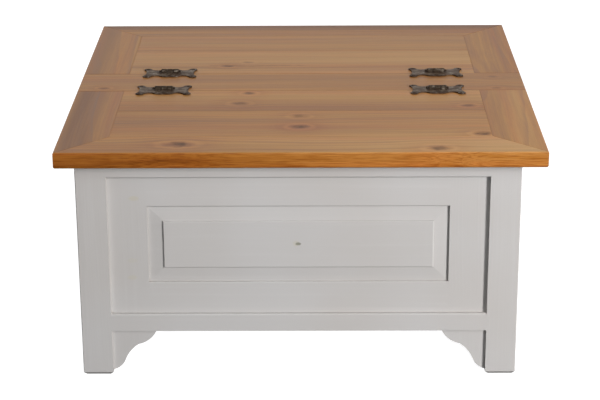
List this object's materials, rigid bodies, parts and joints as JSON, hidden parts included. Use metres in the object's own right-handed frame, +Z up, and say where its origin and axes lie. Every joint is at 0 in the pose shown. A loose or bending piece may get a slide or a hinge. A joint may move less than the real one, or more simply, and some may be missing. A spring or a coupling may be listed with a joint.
{
  "type": "lift top coffee table",
  "caption": "Square trunk coffee table: painted frame-and-panel chest under a waxed wooden top whose front and rear leaves lift on surface hinges from a fixed centre strip.",
  "frame": {"origin": "on the floor, under the centre of the top", "axes": "+X to the right, +Y to the rear, +Z up; the hinge seams run along X"},
  "size_m": [0.9, 0.9, 0.4714],
  "materials": {
    "grey_paint": "warm grey satin paint on pine",
    "waxed_pine": "stained and waxed pine, satin",
    "bare_pine": "planed bare pine",
    "black_iron": "blackened and rubbed iron",
    "zinc_steel": "zinc plated steel screws"
  },
  "bodies": {
    "carcass": {"centre_bearer": "bare_pine", "centre_strip": "waxed_pine", "centre_strip_bearer_screws": "zinc_steel", "centre_strip_hinge_screws": "black_iron", "floor_boards": "bare_pine", "floor_cleats": "bare_pine", "front_brackets": "grey_paint", "front_hinge_fixed_plates": "black_iron", "front_low_rail": "grey_paint", "front_lower_frame_rail": "grey_paint", "front_panel": "grey_paint", "front_stiles": "grey_paint", "front_top_rail": "grey_paint", "front_upper_frame_rail": "grey_paint", "hinge_pins": "black_iron", "left_brackets": "grey_paint", "left_low_rail": "grey_paint", "left_lower_frame_rail": "grey_paint", "left_panel": "grey_paint", "left_stiles": "grey_paint", "left_top_rail": "grey_paint", "left_upper_frame_rail": "grey_paint", "leg_front_left": "grey_paint", "leg_front_right": "grey_paint", "leg_rear_left": "grey_paint", "leg_rear_right": "grey_paint", "rear_brackets": "grey_paint", "rear_hinge_fixed_plates": "black_iron", "rear_low_rail": "grey_paint", "rear_lower_frame_rail": "grey_paint", "rear_panel": "grey_paint", "rear_stiles": "grey_paint", "rear_top_rail": "grey_paint", "rear_upper_frame_rail": "grey_paint", "right_brackets": "grey_paint", "right_low_rail": "grey_paint", "right_lower_frame_rail": "grey_paint", "right_panel": "grey_paint", "right_stiles": "grey_paint", "right_top_rail": "grey_paint", "right_upper_frame_rail": "grey_paint"},
    "front_leaf": {"front_hinge_moving_plates": "black_iron", "front_leaf_batten_screws": "zinc_steel", "front_leaf_battens": "bare_pine", "front_leaf_edge_rail": "waxed_pine", "front_leaf_hinge_board": "waxed_pine", "front_leaf_hinge_screws": "black_iron", "front_leaf_left_rail": "waxed_pine", "front_leaf_outer_board": "waxed_pine", "front_leaf_right_rail": "waxed_pine"},
    "rear_leaf": {"rear_hinge_moving_plates": "black_iron", "rear_leaf_batten_screws": "zinc_steel", "rear_leaf_battens": "bare_pine", "rear_leaf_edge_rail": "waxed_pine", "rear_leaf_hinge_board": "waxed_pine", "rear_leaf_hinge_screws": "black_iron", "rear_leaf_left_rail": "waxed_pine", "rear_leaf_outer_board": "waxed_pine", "rear_leaf_right_rail": "waxed_pine"}
  },
  "joints": [
    {"name": "front_leaf_lift", "type": "hinge", "parent": "carcass", "child": "front_leaf", "pos_m": [0, -0.061, 0.4664], "axis": [-1, 0, 0], "range_deg": [0, 95]},
    {"name": "rear_leaf_lift", "type": "hinge", "parent": "carcass", "child": "rear_leaf", "pos_m": [0, 0.061, 0.4664], "axis": [1, 0, 0], "range_deg": [0, 95]}
  ]
}
